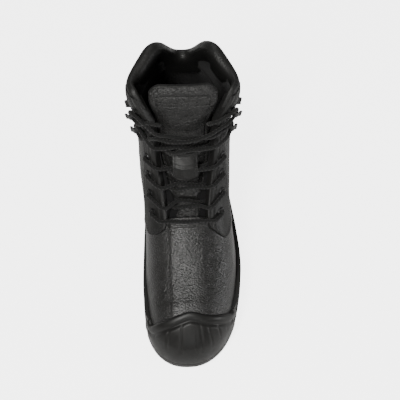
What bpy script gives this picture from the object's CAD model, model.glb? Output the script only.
import bpy, math
import numpy as np
from mathutils import Vector, Matrix


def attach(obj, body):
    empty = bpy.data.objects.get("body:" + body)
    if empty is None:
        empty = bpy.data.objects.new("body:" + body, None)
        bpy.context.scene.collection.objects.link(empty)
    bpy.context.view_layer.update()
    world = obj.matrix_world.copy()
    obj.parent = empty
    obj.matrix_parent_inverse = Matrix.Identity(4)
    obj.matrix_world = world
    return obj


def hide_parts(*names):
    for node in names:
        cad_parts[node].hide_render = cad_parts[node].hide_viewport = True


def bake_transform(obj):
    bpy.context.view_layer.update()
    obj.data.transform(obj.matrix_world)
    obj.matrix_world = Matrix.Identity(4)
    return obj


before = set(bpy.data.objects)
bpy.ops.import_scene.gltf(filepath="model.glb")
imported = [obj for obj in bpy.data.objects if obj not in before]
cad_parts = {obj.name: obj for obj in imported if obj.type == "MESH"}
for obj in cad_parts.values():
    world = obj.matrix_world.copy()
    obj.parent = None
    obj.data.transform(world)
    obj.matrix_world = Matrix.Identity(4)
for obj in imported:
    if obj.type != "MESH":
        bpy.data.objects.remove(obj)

for n in ("Cube", "Light", "Camera"):
    o = bpy.data.objects.get(n)
    if o is not None and o.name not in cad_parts:
        bpy.data.objects.remove(o, do_unlink=True)
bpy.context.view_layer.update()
SHIFT = np.array([1.465, 0.875, 0.0])          # design origin to row frame, mm
rng = np.random.default_rng(7)

# ------------------------------------------------------------------ the last (same tables as the part's source, mm)
FRONT = [(-180, 55), (-155, 57), (-132, 60), (-110, 63.5), (-90, 67), (-70, 73), (-50, 82.5), (-35, 91.5), (-20, 103), (-7, 116), (4, 131), (13, 148), (20, 166), (26, 184), (32.5, 202), (39, 219), (46, 238)]
BACK = [(0, 143), (20, 145), (32, 146.5), (45, 147), (58, 146), (75, 142.5), (95, 137), (115, 131.5), (135, 127), (155, 123.5), (172, 121.5), (190, 119.5), (206, 118), (222, 117), (240, 116)]
MEDIAL = [(-166, 33), (-136, 37.8), (-114, 40.8), (-92, 43.2), (-73, 44.6), (-55, 44.8), (-40, 44.0), (-20, 42.5), (0, 40.8), (20, 39), (40, 38), (60, 37), (80, 36.5), (100, 36), (120, 35.5), (150, 34)]
LATERAL = [(-166, 30), (-136, 36.5), (-114, 41), (-92, 45), (-71, 47.3), (-50, 48.2), (-30, 48), (-10, 46.5), (10, 44.5), (30, 42.5), (50, 40.5), (70, 39), (90, 37.5), (110, 36.5), (150, 34)]
CENTRE = [(-170, -3.2), (-140, -2.2), (-110, -0.6), (-80, 0.6), (-50, 0.8), (-10, -0.6), (40, -1.5), (160, -1.5)]
SHAFT = [(30, 42), (60, 44), (80, 45), (100, 45.7), (120, 46.2), (140, 46.8), (160, 47.6), (180, 48.8), (200, 50.2), (222, 51.5), (240, 52)]
BACK_ROUND = [(0, 44), (60, 44), (100, 50), (150, 60), (190, 72), (210, 80), (240, 84)]
FLOOR = [(-170, 36), (-150, 33), (-120, 28.5), (-90, 26), (-60, 25.5), (-20, 27), (20, 30), (60, 33), (100, 34.5), (160, 35.5)]
GROUND = [(-170, 14.6), (-152, 9.2), (-138, 4.8), (-124, 1.7), (-112, 0), (-100, -1.0), (-60, -1.0), (160, -1.0)]
TOPLINE = [(20, 213), (50, 212), (60, 208.5), (72, 207.5), (85, 210), (97, 213), (105, 209.5), (111, 202), (116, 190), (119, 180.5), (121.5, 173.5), (135, 170)]
GAP = [(60, 20), (96, 20.5), (108, 22), (128, 26), (150, 28.3), (177, 29.5)]
EDGE_Y = [(160, 20), (177, 29), (186, 33), (196, 37.5), (205, 42.5), (212, 49), (225, 56)]


def cat(tab, x):
    xs = np.array([p[0] for p in tab], float); ys = np.array([p[1] for p in tab], float)
    m = np.empty_like(ys)
    m[1:-1] = (ys[2:] - ys[:-2]) / (xs[2:] - xs[:-2])
    m[0] = (ys[1] - ys[0]) / (xs[1] - xs[0]); m[-1] = (ys[-1] - ys[-2]) / (xs[-1] - xs[-2])
    x = np.clip(np.asarray(x, float), xs[0], xs[-1])
    i = np.clip(np.searchsorted(xs, x) - 1, 0, len(xs) - 2)
    h = xs[i + 1] - xs[i]; t = (x - xs[i]) / h
    return (2 * t**3 - 3 * t**2 + 1) * ys[i] + (t**3 - 2 * t**2 + t) * h * m[i] + (-2 * t**3 + 3 * t**2) * ys[i + 1] + (t**3 - t**2) * h * m[i + 1]


def ss(a, b, x):
    t = np.clip((np.asarray(x, float) - a) / (b - a), 0, 1)
    return t * t * (3 - 2 * t)


def _front():
    f = np.array(FRONT, float)
    s = np.concatenate([[0], np.cumsum(np.hypot(*np.diff(f, axis=0).T))])
    q = np.linspace(0, s[-1], 320)
    return np.stack([cat(list(zip(s, f[:, 0])), q), cat(list(zip(s, f[:, 1])), q)], 1)


FC = _front()
GY = np.arange(-186.0, 176.0, 1.5); GZ = np.arange(-12.0, 264.0, 1.5)


def _grid():
    Y, Z = np.meshgrid(GY, GZ, indexing="ij")
    P = np.stack([Y.ravel(), Z.ravel()], 1)
    A, B = FC[:-1], FC[1:]; Dv = B - A; L2 = (Dv**2).sum(1)
    out = np.empty(len(P))
    for k in range(0, len(P), 6000):
        p = P[k:k + 6000]
        w = p[:, None, :] - A[None]
        t = np.clip((w * Dv[None]).sum(2) / L2[None], 0, 1)
        e = w - t[..., None] * Dv[None]
        d2 = (e**2).sum(2); j = d2.argmin(1); r = np.arange(len(p))
        cr = -(Dv[j, 0] * e[r, j, 1] - Dv[j, 1] * e[r, j, 0])
        out[k:k + 6000] = np.sqrt(d2[r, j]) * np.sign(cr)
    return out.reshape(Y.shape)


DG = _grid()


def depth(y, z):
    u = np.clip((y - GY[0]) / 1.5, 1, len(GY) - 3.001); v = np.clip((z - GZ[0]) / 1.5, 1, len(GZ) - 3.001)
    i = u.astype(int); j = v.astype(int); fu = u - i; fv = v - j

    def wts(t):
        return (0.5 * (-t + 2 * t**2 - t**3), 0.5 * (2 - 5 * t**2 + 3 * t**3), 0.5 * (t + 4 * t**2 - 3 * t**3), 0.5 * (-t**2 + t**3))
    wu, wv = wts(fu), wts(fv)
    r = 0
    for a in range(4):
        q = 0
        for b in range(4):
            q = q + wv[b] * DG[i + a - 1, j + b - 1]
        r = r + wu[a] * q
    return r


def expo(z): return 2.35 - 0.3 * ss(60, 130, z)


def rnd(y, z, t=0.0):
    p = expo(z)
    a = np.maximum(0, 1 - (depth(y, z) - t) / (43 + 7 * ss(80, 150, z) - t * 0.8))
    b = np.maximum(0, 1 - (y + 148.0 - 0.12 * np.maximum(0, z - 40) - t) / (52.0 - t * 0.8))
    c = np.maximum(0, 1 - (cat(BACK, z) - y - t) / (cat(BACK_ROUND, z) - t * 0.8))
    return 1 - a**p - b**p - c**p


def flare(y, z): return 14.5 * ss(150, 212, z) * (1 - ss(44, 92, y))


def width(y, z, side):
    k = ss(30, 105, z) * ss(-75, -5, y) + ss(60, 120, z) * (1 - ss(-75, -5, y))
    return np.where(side > 0, cat(LATERAL, y), cat(MEDIAL, y)) * (1 - k) + cat(SHAFT, z) * k


def half(y, z, side, t=0.0):
    x = (width(y, z, side) - t) * np.maximum(rnd(y, z, t), 0) ** (1 / expo(z))
    return x + flare(y, z) * np.minimum(1, x / 15)


def G(P, t=0.0):
    """Positive inside the surface moved inwards by t."""
    x, y, z = P[..., 0], P[..., 1], P[..., 2]
    dx = x - cat(CENTRE, y); side = np.where(dx >= 0, 1, -1); ax = np.abs(dx); fl = flare(y, z)
    x0 = np.where(ax < 15 + fl, ax / (1 + fl / 15), ax - fl)
    return rnd(y, z, t) - (x0 / (width(y, z, side) - t)) ** expo(z)


def grad(P, t=0.0, h=0.25):
    g = np.empty(P.shape)
    for k in range(3):
        e = np.zeros(3); e[k] = h
        g[..., k] = (G(P + e, t) - G(P - e, t)) / (2 * h)
    return g


def project(P, t=0.0, n=9):
    P = np.array(P, float)
    for _ in range(n):
        g = grad(P, t)
        step = -(G(P, t) / np.maximum((g**2).sum(-1), 1e-9))[..., None] * g
        L = np.linalg.norm(step, axis=-1, keepdims=True)
        P = P + step * np.minimum(1, 5.0 / np.maximum(L, 1e-9))
    return P


def normal(P, t=0.0):
    g = -grad(P, t)
    return g / np.maximum(np.linalg.norm(g, axis=-1, keepdims=True), 1e-12)


def cast(C, Dn, t=0.0, far=120.0):
    """First outward crossing of the surface along rays from points inside it."""
    lo = np.zeros(Dn.shape[:-1]); hi = np.full(Dn.shape[:-1], far)
    for _ in range(30):
        m = (lo + hi) / 2
        ins = G(C + Dn * m[..., None], t) > 0
        lo = np.where(ins, m, lo); hi = np.where(ins, hi, m)
    return C + Dn * lo[..., None]


def front_y(z, t=0.0):
    z = np.asarray(z, float); lo = np.full(z.shape, -175.0); hi = np.full(z.shape, 75.0)
    for _ in range(40):
        m = (lo + hi) / 2; ins = rnd(m, z, t) > 0
        hi = np.where(ins, m, hi); lo = np.where(ins, lo, m)
    return hi


def on(xs, z, t=0.0):
    """Points on the surface at signed half width xs and height z, in front of the widest line."""
    xs, z, t = np.broadcast_arrays(np.asarray(xs, float), np.asarray(z, float), np.asarray(t, float))
    side = np.where(xs >= 0, 1, -1); ax = np.abs(xs)
    lo = front_y(z, t); hi = lo + 60
    for _ in range(40):
        m = (lo + hi) / 2; less = half(m, z, side, t) < ax
        lo = np.where(less, m, lo); hi = np.where(less, hi, m)
    y = (lo + hi) / 2
    return np.stack([cat(CENTRE, y) + xs, y, z], -1)


def side_pt(y, z, side, t=0.0):
    y = np.asarray(y, float); z = np.asarray(z, float)
    return np.stack([cat(CENTRE, y) + side * half(y, z, side, t), y, z], -1)


def top_pt(x, y, t=0.0):
    """Top of the foot over plan points."""
    x = np.asarray(x, float); y = np.asarray(y, float)
    lo = np.full(x.shape, 36.0); hi = np.full(x.shape, 130.0)
    for _ in range(40):
        m = (lo + hi) / 2; ins = G(np.stack([x, y, m], -1), t) > 0
        lo = np.where(ins, m, lo); hi = np.where(ins, hi, m)
    return np.stack([x, y, lo], -1)


def floor(y): return cat(FLOOR, y)


def ground(y): return np.maximum(0, cat(GROUND, y))


# ------------------------------------------------------------------ curve and patch helpers
def arc(P):
    P = np.asarray(P, float)
    return np.concatenate([[0], np.cumsum(np.linalg.norm(np.diff(P, axis=0), axis=1))])


def resample(P, u):
    """Points at fractions u of the arc length of polyline P, by Catmull-Rom."""
    P = np.asarray(P, float)
    keep = np.concatenate([[True], np.linalg.norm(np.diff(P, axis=0), axis=1) > 1e-6]); P = P[keep]
    s = arc(P); q = np.asarray(u, float) * s[-1]
    return np.stack([cat(list(zip(s, P[:, k])), q) for k in range(P.shape[1])], 1)


def dense(pts, n=12):
    pts = np.asarray(pts, float)
    return resample(pts, np.linspace(0, 1, n * (len(pts) - 1) + 1))


def spread(n, L, a=None, b=None):
    """n fractions in 0..1 with extra ones close to an end, at the mm offsets a and b."""
    u = list(np.linspace(0, 1, n))
    for q in a or []: u.append(q / L)
    for q in b or []: u.append(1 - q / L)
    u = np.array(sorted(set(np.clip(np.round(u, 6), 0, 1))))
    keep = [0]
    for k in range(1, len(u)):
        if u[k] - u[keep[-1]] > 0.10 / L: keep.append(k)
    u = u[keep]; u[0] = 0; u[-1] = 1
    return u


def coons(c0, c1, d0, d1, u, v):
    """c0, c1 run along u at v 0 and 1; d0, d1 run along v at u 0 and 1. Returns (len(v), len(u), 3)."""
    C0, C1, D0, D1 = resample(c0, u), resample(c1, u), resample(d0, v), resample(d1, v)
    U = np.asarray(u)[None, :, None]; V = np.asarray(v)[:, None, None]
    return ((1 - V) * C0[None] + V * C1[None] + (1 - U) * D0[:, None] + U * D1[:, None]
            - ((1 - U) * (1 - V) * C0[0] + U * (1 - V) * C0[-1] + (1 - U) * V * C1[0] + U * V * C1[-1]))


EDGE = [0.12, 0.3, 0.55, 0.85, 1.2, 1.7]


def roll(d, T, r=1.2):
    """Height of a rounded sheet edge of thickness T, a distance d from the edge."""
    q = np.clip(d / r, 0, 1)
    return T * (0.25 + 0.75 * np.sqrt(np.maximum(0, 1 - (1 - q) ** 2)))


def edge_dist(P, sides):
    """Distance of each grid point to the named grid edges, along the grid."""
    du = np.concatenate([np.zeros((P.shape[0], 1)), np.cumsum(np.linalg.norm(np.diff(P, axis=1), axis=2), 1)], 1)
    dv = np.concatenate([np.zeros((1, P.shape[1])), np.cumsum(np.linalg.norm(np.diff(P, axis=0), axis=2), 0)], 0)
    out = {}
    if "u0" in sides: out["u0"] = du
    if "u1" in sides: out["u1"] = du[:, -1:] - du
    if "v0" in sides: out["v0"] = dv
    if "v1" in sides: out["v1"] = dv[-1:, :] - dv
    return out


def noise(P, scale, seed=0, n=24):
    """Smooth pseudo-random field in -1..1, from a sum of sine waves."""
    r = np.random.default_rng(seed)
    k = r.normal(size=(n, 3)); k /= np.linalg.norm(k, axis=1, keepdims=True)
    k *= (2 * np.pi / scale) * r.uniform(0.6, 1.5, (n, 1)); ph = r.uniform(0, 2 * np.pi, n)
    out = 0
    for i in range(n):
        out = out + np.sin(P[..., 0] * k[i, 0] + P[..., 1] * k[i, 1] + P[..., 2] * k[i, 2] + ph[i])
    return out / (n / 2) ** 0.5 / 1.4


MESHES = {}


def make_mesh(name, V, F, mat, smooth=True, uv=None):
    me = bpy.data.meshes.new(name)
    V = np.asarray(V, float)
    me.from_pydata(((V + SHIFT) / 1000.0).tolist(), [], [tuple(int(i) for i in f) for f in F])
    if smooth:
        me.polygons.foreach_set("use_smooth", [True] * len(me.polygons))
    if uv is not None:
        lay = me.uv_layers.new(name="UVMap")
        idx = np.empty(len(me.loops), int); me.loops.foreach_get("vertex_index", idx)
        lay.data.foreach_set("uv", np.asarray(uv, float)[idx].ravel())
    me.update()
    o = bpy.data.objects.new(name, me)
    bpy.context.scene.collection.objects.link(o)
    me.materials.append(mat)
    MESHES[name] = o
    return o


def grid_faces(nv, nu, base=0, wrap=False, flip=False):
    j, i = np.meshgrid(np.arange(nv - 1), np.arange(nu if wrap else nu - 1), indexing="ij")
    a = base + j * nu + i; b = base + j * nu + (i + 1) % nu; c = base + (j + 1) * nu + (i + 1) % nu; d = base + (j + 1) * nu + i
    f = np.stack([a, b, c, d] if not flip else [a, d, c, b], -1).reshape(-1, 4)
    return f


def grid_mesh(name, V, mat, wrap=False, flip=False, uv=True):
    nv, nu = V.shape[:2]
    du = np.concatenate([np.zeros((nv, 1)), np.cumsum(np.linalg.norm(np.diff(V, axis=1), axis=2), 1)], 1)
    dv = np.concatenate([np.zeros((1, nu)), np.cumsum(np.linalg.norm(np.diff(V, axis=0), axis=2), 0)], 0)
    return make_mesh(name, V.reshape(-1, 3), grid_faces(nv, nu, 0, wrap, flip), mat, uv=np.stack([du.ravel(), dv.ravel()], 1) / 100.0)


def sheet(name, P, N, H, mat, walls=(), drop=1.6, flip=None):
    """A leather panel: base points P, normals N, heights H; a wall goes down at each named edge."""
    V = P + N * H[..., None]

    def wall(V, P, N, H, side):
        idx = {"u0": (slice(None), slice(0, 1)), "u1": (slice(None), slice(-1, None)), "v0": (slice(0, 1), slice(None)), "v1": (slice(-1, None), slice(None))}[side]
        row = P[idx] + N[idx] * (H[idx][..., None] - drop)
        ax = 1 if side[0] == "u" else 0
        cat_ = [row, V] if side[1] == "0" else [V, row]
        pad = [(0, 0)] * 2
        pad[ax] = (1, 0) if side[1] == "0" else (0, 1)
        P2 = np.pad(P, pad + [(0, 0)], mode="edge"); N2 = np.pad(N, pad + [(0, 0)], mode="edge"); H2 = np.pad(H, pad, mode="edge")
        i2 = {"u0": (slice(None), slice(0, 1)), "u1": (slice(None), slice(-1, None)), "v0": (slice(0, 1), slice(None)), "v1": (slice(-1, None), slice(None))}[side]
        H2[i2] = H2[i2] - drop
        return np.concatenate(cat_, axis=ax), P2, N2, H2
    for s in walls:
        V, P, N, H = wall(V, P, N, H, s)
    # face direction: outwards
    a = V[0:-1, 0:-1]; fn = np.cross(V[0:-1, 1:] - a, V[1:, 0:-1] - a)
    out = (fn * N[0:-1, 0:-1]).sum() < 0
    return grid_mesh(name, V, mat, flip=bool(out))


# ------------------------------------------------------------------ materials
def nodes_of(name):
    m = bpy.data.materials.new(name); m.use_nodes = True
    nt = m.node_tree; b = nt.nodes.get("Principled BSDF")
    return m, nt, b


def add(nt, kind, **kw):
    n = nt.nodes.new(kind)
    for k, v in kw.items():
        if k in ("operation", "blend_type", "data_type", "feature", "distance", "wave_type", "bands_direction", "wave_profile", "noise_dimensions", "voronoi_dimensions", "invert", "use_clamp"):
            setattr(n, k, v)
        else:
            n.inputs[k.replace("_", " ")].default_value = v
    return n


def ramp(nt, fac, stops):
    r = nt.nodes.new("ShaderNodeValToRGB"); cr = r.color_ramp
    while len(cr.elements) < len(stops): cr.elements.new(0.5)
    for e, (p, c) in zip(cr.elements, stops):
        e.position = p; e.color = (c[0], c[1], c[2], 1) if hasattr(c, "__len__") else (c, c, c, 1)
    nt.links.new(fac, r.inputs["Fac"])
    return r.outputs["Color"]


def mixf(nt, a, b, f):
    n = nt.nodes.new("ShaderNodeMix"); n.data_type = "FLOAT"
    n.inputs[0].default_value = f
    nt.links.new(a, n.inputs[2]); nt.links.new(b, n.inputs[3])
    return n.outputs[0]


def leather(name, base, rough=0.46, cell=0.95, bump=0.35, sheen=0.0, wear=0.35, fine=1.0, coat=0.0, spec=0.34, stretch=1.5):
    m, nt, b = nodes_of(name); L = nt.links
    tc = add(nt, "ShaderNodeTexCoord")
    v = add(nt, "ShaderNodeTexVoronoi", Scale=1000.0 / cell, feature="SMOOTH_F1", Smoothness=0.35)
    warp = add(nt, "ShaderNodeTexNoise", Scale=420.0, Detail=3.0)
    addv = add(nt, "ShaderNodeVectorMath", operation="MULTIPLY_ADD"); addv.inputs[1].default_value = (0.0009,) * 3
    L.new(tc.outputs["Object"], warp.inputs["Vector"]); L.new(warp.outputs["Color"], addv.inputs[0]); L.new(tc.outputs["Object"], addv.inputs[2])
    mp = add(nt, "ShaderNodeMapping"); mp.inputs["Scale"].default_value = (1.0 / stretch, 1.0, 1.0)
    L.new(addv.outputs[0], mp.inputs["Vector"]); L.new(mp.outputs[0], v.inputs["Vector"])
    n2 = add(nt, "ShaderNodeTexNoise", Scale=2600.0, Detail=4.0, Roughness=0.6); L.new(tc.outputs["Object"], n2.inputs["Vector"])
    n3 = add(nt, "ShaderNodeTexNoise", Scale=95.0, Detail=5.0, Roughness=0.55); L.new(tc.outputs["Object"], n3.inputs["Vector"])
    n4 = add(nt, "ShaderNodeTexNoise", Scale=22.0, Detail=3.0); L.new(tc.outputs["Object"], n4.inputs["Vector"])
    cellh = ramp(nt, v.outputs["Distance"], [(0.0, 1.0), (0.55, 0.72), (1.0, 0.0)])
    h = mixf(nt, cellh, n2.outputs["Fac"], 0.22 * fine)
    h2 = mixf(nt, h, n3.outputs["Fac"], 0.30)
    bp = add(nt, "ShaderNodeBump", Strength=bump, Distance=0.0009 * cell); L.new(h2, bp.inputs["Height"]); L.new(bp.outputs["Normal"], b.inputs["Normal"])
    c = np.array(base)
    col = ramp(nt, n3.outputs["Fac"], [(0.25, tuple(c * 0.75)), (0.55, tuple(c)), (0.8, tuple(c * 1.35))])
    geo = add(nt, "ShaderNodeNewGeometry")
    edge = ramp(nt, geo.outputs["Pointiness"], [(0.50, 0.0), (0.56, wear), (0.64, wear)])
    mx = nt.nodes.new("ShaderNodeMix"); mx.data_type = "RGBA"; mx.blend_type = "MIX"
    L.new(edge, mx.inputs[0]); L.new(col, mx.inputs[6]); mx.inputs[7].default_value = tuple(c * 2.1 + 0.006) + (1,)
    L.new(mx.outputs[2], b.inputs["Base Color"])
    rr = ramp(nt, n4.outputs["Fac"], [(0.3, rough - 0.05), (0.7, rough + 0.07)])
    L.new(rr, b.inputs["Roughness"])
    b.inputs["Specular IOR Level"].default_value = spec
    b.inputs["Sheen Weight"].default_value = sheen; b.inputs["Sheen Roughness"].default_value = 0.5
    b.inputs["Coat Weight"].default_value = coat; b.inputs["Coat Roughness"].default_value = 0.35
    return m


def rubber(name, base, rough=0.58, bump=0.12, dust=0.3):
    m, nt, b = nodes_of(name); L = nt.links
    tc = add(nt, "ShaderNodeTexCoord")
    n1 = add(nt, "ShaderNodeTexNoise", Scale=3200.0, Detail=3.0); L.new(tc.outputs["Object"], n1.inputs["Vector"])
    n2 = add(nt, "ShaderNodeTexNoise", Scale=60.0, Detail=6.0, Roughness=0.65); L.new(tc.outputs["Object"], n2.inputs["Vector"])
    bp = add(nt, "ShaderNodeBump", Strength=bump, Distance=0.0005); L.new(mixf(nt, n1.outputs["Fac"], n2.outputs["Fac"], 0.35), bp.inputs["Height"]); L.new(bp.outputs["Normal"], b.inputs["Normal"])
    c = np.array(base)
    col = ramp(nt, n2.outputs["Fac"], [(0.3, tuple(c * 0.85)), (0.6, tuple(c)), (0.85, tuple(c * (1 + dust) + 0.004))])
    geo = add(nt, "ShaderNodeNewGeometry")
    edge = ramp(nt, geo.outputs["Pointiness"], [(0.50, 0.0), (0.57, 0.55), (0.66, 0.55)])
    mx = nt.nodes.new("ShaderNodeMix"); mx.data_type = "RGBA"
    L.new(edge, mx.inputs[0]); L.new(col, mx.inputs[6]); mx.inputs[7].default_value = tuple(c * 1.9 + 0.008) + (1,)
    L.new(mx.outputs[2], b.inputs["Base Color"])
    L.new(ramp(nt, n2.outputs["Fac"], [(0.3, rough - 0.06), (0.8, rough + 0.1)]), b.inputs["Roughness"])
    b.inputs["Specular IOR Level"].default_value = 0.32
    return m


def textile(name, base, pitch=0.9, bump=0.6, rough=0.9, fuzz=0.35, diag=False, uvscale=100.0):
    m, nt, b = nodes_of(name); L = nt.links
    uv = add(nt, "ShaderNodeTexCoord")
    mp = add(nt, "ShaderNodeMapping"); L.new(uv.outputs["UV"], mp.inputs["Vector"])
    mp.inputs["Rotation"].default_value = (0, 0, math.radians(45 if diag else 0))
    k = uvscale / pitch / 2.0 / 3.2
    w1 = add(nt, "ShaderNodeTexWave", Scale=k, Distortion=0.6, Detail=1.0, bands_direction="X"); L.new(mp.outputs[0], w1.inputs["Vector"])
    w2 = add(nt, "ShaderNodeTexWave", Scale=k, Distortion=0.6, Detail=1.0, bands_direction="Y"); L.new(mp.outputs[0], w2.inputs["Vector"])
    mul = add(nt, "ShaderNodeMath", operation="MULTIPLY"); L.new(w1.outputs["Fac"], mul.inputs[0]); L.new(w2.outputs["Fac"], mul.inputs[1])
    n = add(nt, "ShaderNodeTexNoise", Scale=1800.0, Detail=3.0); L.new(uv.outputs["Object"], n.inputs["Vector"])
    n3 = add(nt, "ShaderNodeTexNoise", Scale=40.0, Detail=4.0); L.new(uv.outputs["Object"], n3.inputs["Vector"])
    h = mixf(nt, mul.outputs[0], n.outputs["Fac"], 0.35)
    bp = add(nt, "ShaderNodeBump", Strength=bump, Distance=0.0005); L.new(h, bp.inputs["Height"]); L.new(bp.outputs["Normal"], b.inputs["Normal"])
    c = np.array(base)
    c1 = ramp(nt, h, [(0.1, tuple(c * 0.55)), (0.6, tuple(c)), (1.0, tuple(c * 1.3))])
    mx = nt.nodes.new("ShaderNodeMix"); mx.data_type = "RGBA"; mx.blend_type = "MULTIPLY"; mx.inputs[0].default_value = 0.6
    L.new(c1, mx.inputs[6]); L.new(ramp(nt, n3.outputs["Fac"], [(0.3, 0.7), (0.7, 1.0)]), mx.inputs[7])
    L.new(mx.outputs[2], b.inputs["Base Color"])
    b.inputs["Roughness"].default_value = rough
    b.inputs["Sheen Weight"].default_value = fuzz; b.inputs["Sheen Roughness"].default_value = 0.6
    b.inputs["Specular IOR Level"].default_value = 0.25
    return m


def metal(name, base, rough=0.34, metallic=0.9, bump=0.08):
    m, nt, b = nodes_of(name); L = nt.links
    tc = add(nt, "ShaderNodeTexCoord")
    n = add(nt, "ShaderNodeTexNoise", Scale=900.0, Detail=5.0, Roughness=0.7); L.new(tc.outputs["Object"], n.inputs["Vector"])
    bp = add(nt, "ShaderNodeBump", Strength=bump, Distance=0.0003); L.new(n.outputs["Fac"], bp.inputs["Height"]); L.new(bp.outputs["Normal"], b.inputs["Normal"])
    c = np.array(base)
    geo = add(nt, "ShaderNodeNewGeometry")
    e = ramp(nt, geo.outputs["Pointiness"], [(0.5, 0.0), (0.58, 0.7)])
    mx = nt.nodes.new("ShaderNodeMix"); mx.data_type = "RGBA"
    L.new(e, mx.inputs[0]); L.new(ramp(nt, n.outputs["Fac"], [(0.3, tuple(c * 0.8)), (0.8, tuple(c * 1.2))]), mx.inputs[6]); mx.inputs[7].default_value = tuple(c * 2.4 + 0.05) + (1,)
    L.new(mx.outputs[2], b.inputs["Base Color"])
    L.new(ramp(nt, n.outputs["Fac"], [(0.3, rough - 0.08), (0.8, rough + 0.1)]), b.inputs["Roughness"])
    b.inputs["Metallic"].default_value = metallic
    return m


M = {
    "vamp": leather("leather_pebbled", (0.0085, 0.0084, 0.0078), 0.34, 1.3, 0.8, spec=0.66),
    "quarter": leather("leather_quarter", (0.0100, 0.0100, 0.0095), 0.42, 1.9, 0.75, spec=0.42),
    "facing": leather("leather_facing", (0.0115, 0.0115, 0.0110), 0.42, 1.1, 0.35, fine=0.7),
    "tongue": leather("leather_tongue", (0.0120, 0.0119, 0.0112), 0.40, 2.2, 1.0, stretch=1.2, spec=0.5),
    "collar": leather("leather_collar", (0.0120, 0.0120, 0.0115), 0.44, 1.2, 0.40),
    "bumper": rubber("rubber_bumper", (0.0125, 0.0124, 0.0117), 0.42),
    "midsole": rubber("rubber_midsole", (0.0120, 0.0120, 0.0115), 0.54),
    "outsole": rubber("rubber_outsole", (0.0120, 0.0120, 0.0115), 0.60, 0.2),
    "lining": textile("lining_knit", (0.0085, 0.0085, 0.0088), 0.9, 0.5, 0.9, 0.05),
    "gusset": textile("gusset_weave", (0.007, 0.007, 0.007), 0.7, 0.6, 0.9, 0.03),
    "lace": textile("lace_braid", (0.0085, 0.0085, 0.0082), 1.25, 1.0, 0.8, 0.10, diag=True),
    "thread": textile("thread", (0.016, 0.016, 0.016), 0.5, 0.4, 0.6, 0.1),
    "metal": metal("metal_black", (0.012, 0.012, 0.0125), 0.36),
    "steel": metal("metal_steel", (0.42, 0.43, 0.44), 0.35),
    "footbed": textile("footbed_cloth", (0.020, 0.020, 0.022), 1.0, 0.5),
    "plastic": rubber("tip_plastic", (0.015, 0.015, 0.015), 0.25, 0.03, 0.1),
    "board": textile("board_fibre", (0.30, 0.26, 0.20), 0.8, 0.4),
}

# ------------------------------------------------------------------ vamp
SEAM = [(17.5, 33.5), (4, 45), (-10, 58), (-20, 72), (-24.5, 86), (-26.2, 97.2)]


def both(poly_med, poly_lat):
    return np.concatenate([poly_med, poly_lat[::-1]])


def foot_section(y, n=60, low=4.0):
    """Around the foot at constant y, medial floor to lateral floor."""
    c = np.array([float(cat(CENTRE, y)), y, 0.0]) + np.array([0, 0, float(floor(y)) + 12.0])
    a = np.linspace(-math.radians(112), math.radians(112), n)
    Dn = np.stack([np.sin(a), np.zeros(n), np.cos(a)], 1)
    P = cast(c, Dn)
    ok = P[:, 2] >= floor(y) + low - 0.5
    return P[ok]


ys = np.linspace(-127, 17.5, 60)
med_bottom = side_pt(ys, floor(ys) + 3.5, -1); lat_bottom = side_pt(ys, floor(ys) + 3.5, 1)
fs = foot_section(-127.0)
fs[0], fs[-1] = med_bottom[0], lat_bottom[0]
seam_d = dense(SEAM, 8)
sm = side_pt(seam_d[:, 0], seam_d[:, 1], -1); sl = side_pt(seam_d[:, 0], seam_d[:, 1], 1)
sm[0], sl[0] = med_bottom[-1], lat_bottom[-1]
rear = both(sm, sl)
nu, nv = 300, 190
U, Vv = np.linspace(0, 1, nu), np.linspace(0, 1, nv)
P = project(coons(fs, rear, med_bottom, lat_bottom, U, Vv))
N = normal(P)
x, y, z = P[..., 0], P[..., 1], P[..., 2]
H = 0.16 * noise(P, 42, 1) + 0.07 * noise(P, 15, 2)
# flex lines across the ball, soft hollows beside the toe cap and the last's ridge
fl_w = ss(-92, -74, y) * (1 - ss(-44, -34, y))
H += -0.34 * fl_w * np.maximum(0, np.sin((y + 0.10 * np.abs(x) + 2.2 * noise(P, 30, 5)) / 5.6)) ** 3 * (0.5 + 0.5 * noise(P, 26, 9))
H += -0.5 * np.exp(-((y + 98 + 0.004 * x * x) / 5.0) ** 2) * ss(44, 60, z)
# stitched ribs where the vamp ends at the throat
across = 1 - ss(15, 19, np.abs(x + 1))
tz = np.linalg.norm(P - P[-1:], axis=-1)
d_end = edge_dist(P, ("v1",))["v1"]
rib = (1 - ss(9.5, 11.0, d_end)) * across * ss(0.0, 1.0, d_end)
H += rib * (0.55 + 0.45 * np.sin(d_end * 2 * math.pi / 1.75)) * 1.0
H = H + roll(d_end, 0.6, 1.0) * across
o = sheet("vamp_leather", P, N, H, M["vamp"], walls=("v1",), drop=2.2)
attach(o, "boot"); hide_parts("vamp")

# ------------------------------------------------------------------ stitches
STITCH = {"V": [], "F": [], "n": 0}


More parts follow.
